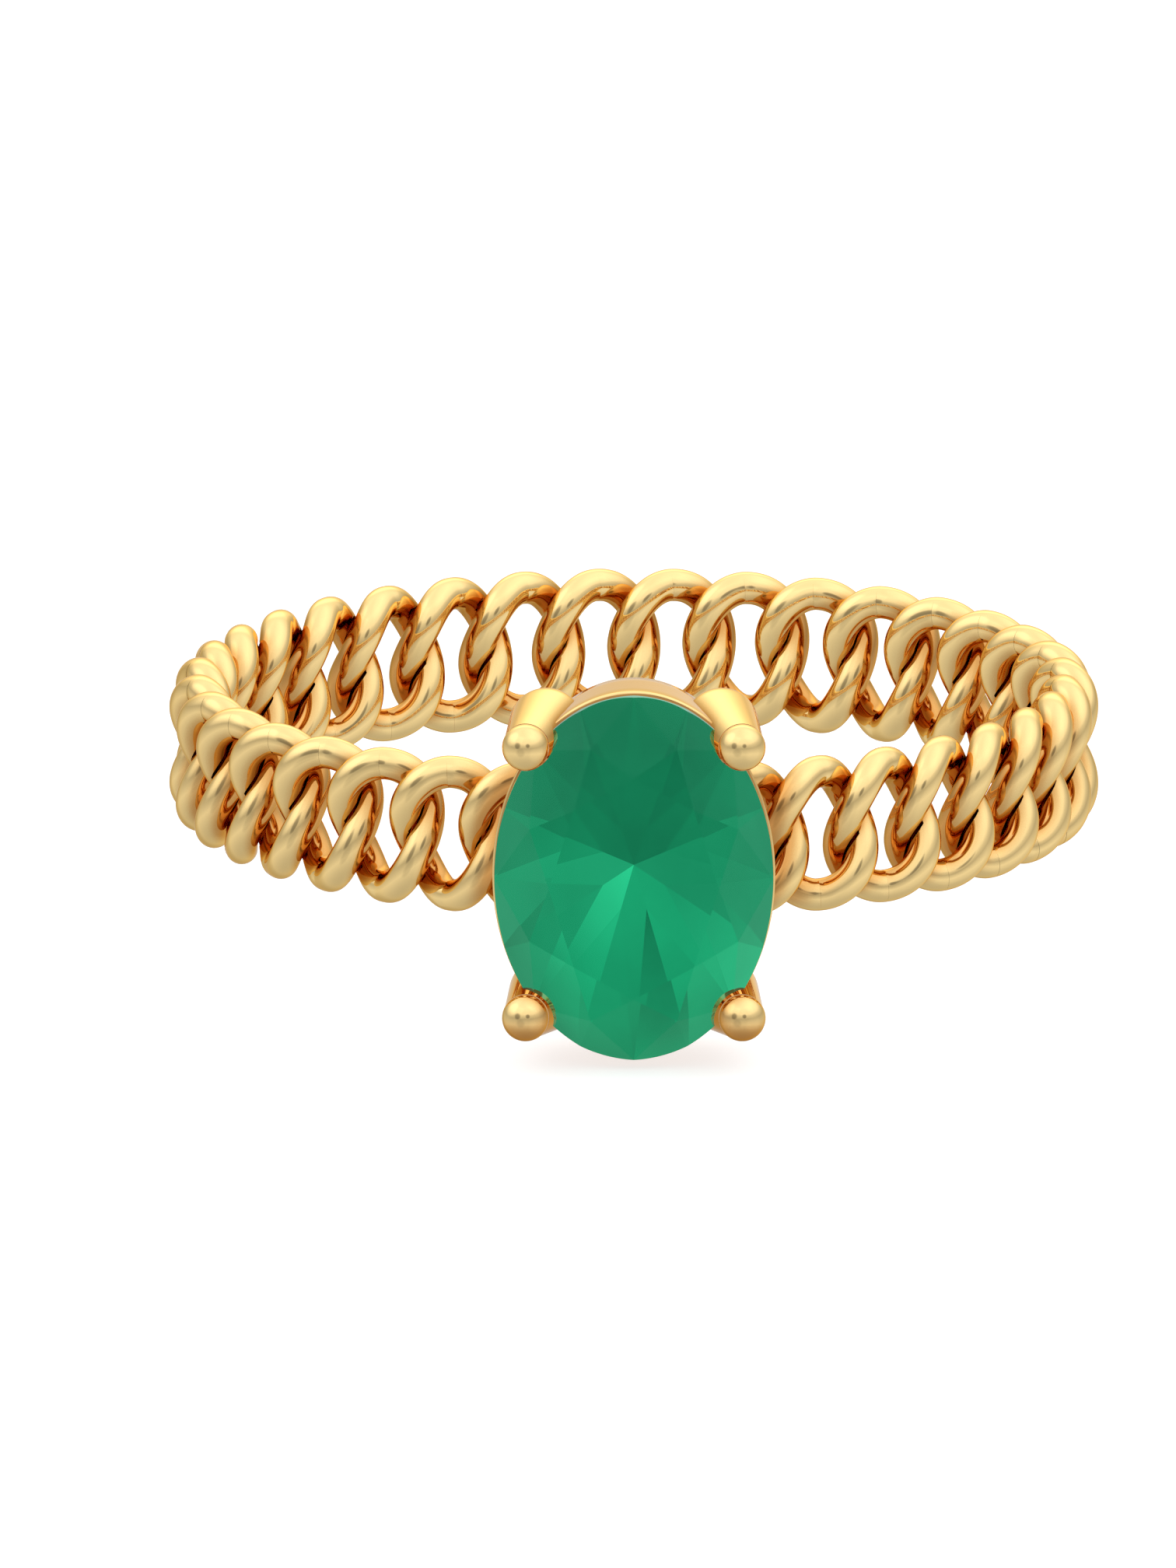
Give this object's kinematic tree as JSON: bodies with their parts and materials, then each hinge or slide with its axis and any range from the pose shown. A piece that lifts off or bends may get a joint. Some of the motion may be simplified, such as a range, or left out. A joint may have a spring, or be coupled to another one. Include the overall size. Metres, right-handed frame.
{
  "type": "cocktail ring",
  "caption": "Cocktail ring: a faceted oval green stone in a four-prong head on a flexible band of interlocked yellow gold curb-chain links.",
  "frame": {"origin": "centre of the finger hole, halfway across the band's width", "axes": "+Z along the finger hole's axis, +Y from the stone towards the back of the band, +X to the right seen from the stone's side"},
  "size_m": [0.02, 0.0238, 0.0081],
  "materials": {
    "gold": "polished yellow gold",
    "emerald": "polished facets, deep green"
  },
  "bodies": {
    "head": {"emerald": "emerald", "collet": "gold", "saddle": "gold", "prong_upper_right": "gold", "prong_upper_left": "gold", "prong_lower_right": "gold", "prong_lower_left": "gold", "link_35": "gold", "link_36": "gold", "link_01": "gold", "link_02": "gold"},
    "link_03": {"link_03": "gold"},
    "link_04": {"link_04": "gold"},
    "link_05": {"link_05": "gold"},
    "link_06": {"link_06": "gold"},
    "link_07": {"link_07": "gold"},
    "link_08": {"link_08": "gold"},
    "link_09": {"link_09": "gold"},
    "link_10": {"link_10": "gold"},
    "link_11": {"link_11": "gold"},
    "link_12": {"link_12": "gold"},
    "link_13": {"link_13": "gold"},
    "link_14": {"link_14": "gold"},
    "link_15": {"link_15": "gold"},
    "link_16": {"link_16": "gold"},
    "link_17": {"link_17": "gold"},
    "link_18": {"link_18": "gold"},
    "link_34": {"link_34": "gold"},
    "link_33": {"link_33": "gold"},
    "link_32": {"link_32": "gold"},
    "link_31": {"link_31": "gold"},
    "link_30": {"link_30": "gold"},
    "link_29": {"link_29": "gold"},
    "link_28": {"link_28": "gold"},
    "link_27": {"link_27": "gold"},
    "link_26": {"link_26": "gold"},
    "link_25": {"link_25": "gold"},
    "link_24": {"link_24": "gold"},
    "link_23": {"link_23": "gold"},
    "link_22": {"link_22": "gold"},
    "link_21": {"link_21": "gold"},
    "link_20": {"link_20": "gold"},
    "link_19": {"link_19": "gold"}
  },
  "joints": [
    {"name": "pivot_02_03", "type": "hinge", "parent": "head", "child": "link_03", "pos_m": [0.00319, -0.00875, 0], "axis": [0, 0, 1], "range_deg": [-2.48, 2.48]},
    {"name": "pivot_03_04", "type": "hinge", "parent": "link_03", "child": "link_04", "pos_m": [0.00466, -0.00807, 0], "axis": [0, 0, 1], "range_deg": [-1.79, 1.79]},
    {"name": "pivot_04_05", "type": "hinge", "parent": "link_04", "child": "link_05", "pos_m": [0.00599, -0.00714, 0], "axis": [0, 0, 1], "range_deg": [-0.95, 0.95]},
    {"name": "pivot_05_06", "type": "hinge", "parent": "link_05", "child": "link_06", "pos_m": [0.00714, -0.00599, 0], "axis": [0, 0, 1], "range_deg": [-0.046, 0.046]},
    {"name": "pivot_06_07", "type": "hinge", "parent": "link_06", "child": "link_07", "pos_m": [0.00807, -0.00466, 0], "axis": [0, 0, 1], "range_deg": [-0.8, 0.8]},
    {"name": "pivot_07_08", "type": "hinge", "parent": "link_07", "child": "link_08", "pos_m": [0.00875, -0.00319, 0], "axis": [0, 0, 1], "range_deg": [-1.49, 1.49]},
    {"name": "pivot_08_09", "type": "hinge", "parent": "link_08", "child": "link_09", "pos_m": [0.00917, -0.00162, 0], "axis": [0, 0, 1], "range_deg": [-1.95, 1.95]},
    {"name": "band_flex", "type": "hinge", "parent": "link_09", "child": "link_10", "pos_m": [0.00932, 0, 0], "axis": [0, 0, 1], "range_deg": [-2.1, 2.1]},
    {"name": "pivot_10_11", "type": "hinge", "parent": "link_10", "child": "link_11", "pos_m": [0.00917, 0.00162, 0], "axis": [0, 0, 1], "range_deg": [-1.95, 1.95]},
    {"name": "pivot_11_12", "type": "hinge", "parent": "link_11", "child": "link_12", "pos_m": [0.00875, 0.00319, 0], "axis": [0, 0, 1], "range_deg": [-1.49, 1.49]},
    {"name": "pivot_12_13", "type": "hinge", "parent": "link_12", "child": "link_13", "pos_m": [0.00807, 0.00466, 0], "axis": [0, 0, 1], "range_deg": [-0.8, 0.8]},
    {"name": "pivot_13_14", "type": "hinge", "parent": "link_13", "child": "link_14", "pos_m": [0.00714, 0.00599, 0], "axis": [0, 0, 1], "range_deg": [-0.046, 0.046]},
    {"name": "pivot_14_15", "type": "hinge", "parent": "link_14", "child": "link_15", "pos_m": [0.00599, 0.00714, 0], "axis": [0, 0, 1], "range_deg": [-0.95, 0.95]},
    {"name": "pivot_15_16", "type": "hinge", "parent": "link_15", "child": "link_16", "pos_m": [0.00466, 0.00807, 0], "axis": [0, 0, 1], "range_deg": [-1.79, 1.79]},
    {"name": "pivot_16_17", "type": "hinge", "parent": "link_16", "child": "link_17", "pos_m": [0.00319, 0.00875, 0], "axis": [0, 0, 1], "range_deg": [-2.48, 2.48]},
    {"name": "pivot_17_18", "type": "hinge", "parent": "link_17", "child": "link_18", "pos_m": [0.00162, 0.00917, 0], "axis": [0, 0, 1], "range_deg": [-2.94, 2.94]},
    {"name": "pivot_35_34", "type": "hinge", "parent": "head", "child": "link_34", "pos_m": [-0.00319, -0.00875, 0], "axis": [0, 0, 1], "range_deg": [-2.48, 2.48]},
    {"name": "pivot_34_33", "type": "hinge", "parent": "link_34", "child": "link_33", "pos_m": [-0.00466, -0.00807, 0], "axis": [0, 0, 1], "range_deg": [-1.79, 1.79]},
    {"name": "pivot_33_32", "type": "hinge", "parent": "link_33", "child": "link_32", "pos_m": [-0.00599, -0.00714, 0], "axis": [0, 0, 1], "range_deg": [-0.95, 0.95]},
    {"name": "pivot_32_31", "type": "hinge", "parent": "link_32", "child": "link_31", "pos_m": [-0.00714, -0.00599, 0], "axis": [0, 0, 1], "range_deg": [-0.046, 0.046]},
    {"name": "pivot_31_30", "type": "hinge", "parent": "link_31", "child": "link_30", "pos_m": [-0.00807, -0.00466, 0], "axis": [0, 0, 1], "range_deg": [-0.8, 0.8]},
    {"name": "pivot_30_29", "type": "hinge", "parent": "link_30", "child": "link_29", "pos_m": [-0.00875, -0.00319, 0], "axis": [0, 0, 1], "range_deg": [-1.49, 1.49]},
    {"name": "pivot_29_28", "type": "hinge", "parent": "link_29", "child": "link_28", "pos_m": [-0.00917, -0.00162, 0], "axis": [0, 0, 1], "range_deg": [-1.95, 1.95]},
    {"name": "pivot_28_27", "type": "hinge", "parent": "link_28", "child": "link_27", "pos_m": [-0.00932, 0, 0], "axis": [0, 0, 1], "range_deg": [-2.1, 2.1]},
    {"name": "pivot_27_26", "type": "hinge", "parent": "link_27", "child": "link_26", "pos_m": [-0.00917, 0.00162, 0], "axis": [0, 0, 1], "range_deg": [-1.95, 1.95]},
    {"name": "pivot_26_25", "type": "hinge", "parent": "link_26", "child": "link_25", "pos_m": [-0.00875, 0.00319, 0], "axis": [0, 0, 1], "range_deg": [-1.49, 1.49]},
    {"name": "pivot_25_24", "type": "hinge", "parent": "link_25", "child": "link_24", "pos_m": [-0.00807, 0.00466, 0], "axis": [0, 0, 1], "range_deg": [-0.8, 0.8]},
    {"name": "pivot_24_23", "type": "hinge", "parent": "link_24", "child": "link_23", "pos_m": [-0.00714, 0.00599, 0], "axis": [0, 0, 1], "range_deg": [-0.046, 0.046]},
    {"name": "pivot_23_22", "type": "hinge", "parent": "link_23", "child": "link_22", "pos_m": [-0.00599, 0.00714, 0], "axis": [0, 0, 1], "range_deg": [-0.95, 0.95]},
    {"name": "pivot_22_21", "type": "hinge", "parent": "link_22", "child": "link_21", "pos_m": [-0.00466, 0.00807, 0], "axis": [0, 0, 1], "range_deg": [-1.79, 1.79]},
    {"name": "pivot_21_20", "type": "hinge", "parent": "link_21", "child": "link_20", "pos_m": [-0.00319, 0.00875, 0], "axis": [0, 0, 1], "range_deg": [-2.48, 2.48]},
    {"name": "pivot_20_19", "type": "hinge", "parent": "link_20", "child": "link_19", "pos_m": [-0.00162, 0.00917, 0], "axis": [0, 0, 1], "range_deg": [-2.94, 2.94]}
  ],
  "couplings": [
    {"joint": "pivot_02_03", "follows": "band_flex", "ratio": -1.1825},
    {"joint": "pivot_03_04", "follows": "band_flex", "ratio": -0.85372},
    {"joint": "pivot_04_05", "follows": "band_flex", "ratio": -0.45041},
    {"joint": "pivot_05_06", "follows": "band_flex", "ratio": -0.021214},
    {"joint": "pivot_06_07", "follows": "band_flex", "ratio": 0.3821},
    {"joint": "pivot_07_08", "follows": "band_flex", "ratio": 0.71088},
    {"joint": "pivot_08_09", "follows": "band_flex", "ratio": 0.92547},
    {"joint": "pivot_10_11", "follows": "band_flex", "ratio": 0.92547},
    {"joint": "pivot_11_12", "follows": "band_flex", "ratio": 0.71088},
    {"joint": "pivot_12_13", "follows": "band_flex", "ratio": 0.3821},
    {"joint": "pivot_13_14", "follows": "band_flex", "ratio": -0.021214},
    {"joint": "pivot_14_15", "follows": "band_flex", "ratio": -0.45041},
    {"joint": "pivot_15_16", "follows": "band_flex", "ratio": -0.85372},
    {"joint": "pivot_16_17", "follows": "band_flex", "ratio": -1.1825},
    {"joint": "pivot_17_18", "follows": "band_flex", "ratio": -1.3971},
    {"joint": "pivot_35_34", "follows": "band_flex", "ratio": 1.1825},
    {"joint": "pivot_34_33", "follows": "band_flex", "ratio": 0.85372},
    {"joint": "pivot_33_32", "follows": "band_flex", "ratio": 0.45041},
    {"joint": "pivot_32_31", "follows": "band_flex", "ratio": 0.021214},
    {"joint": "pivot_31_30", "follows": "band_flex", "ratio": -0.3821},
    {"joint": "pivot_30_29", "follows": "band_flex", "ratio": -0.71088},
    {"joint": "pivot_29_28", "follows": "band_flex", "ratio": -0.92547},
    {"joint": "pivot_28_27", "follows": "band_flex", "ratio": -1},
    {"joint": "pivot_27_26", "follows": "band_flex", "ratio": -0.92547},
    {"joint": "pivot_26_25", "follows": "band_flex", "ratio": -0.71088},
    {"joint": "pivot_25_24", "follows": "band_flex", "ratio": -0.3821},
    {"joint": "pivot_24_23", "follows": "band_flex", "ratio": 0.021214},
    {"joint": "pivot_23_22", "follows": "band_flex", "ratio": 0.45041},
    {"joint": "pivot_22_21", "follows": "band_flex", "ratio": 0.85372},
    {"joint": "pivot_21_20", "follows": "band_flex", "ratio": 1.1825},
    {"joint": "pivot_20_19", "follows": "band_flex", "ratio": 1.3971}
  ]
}
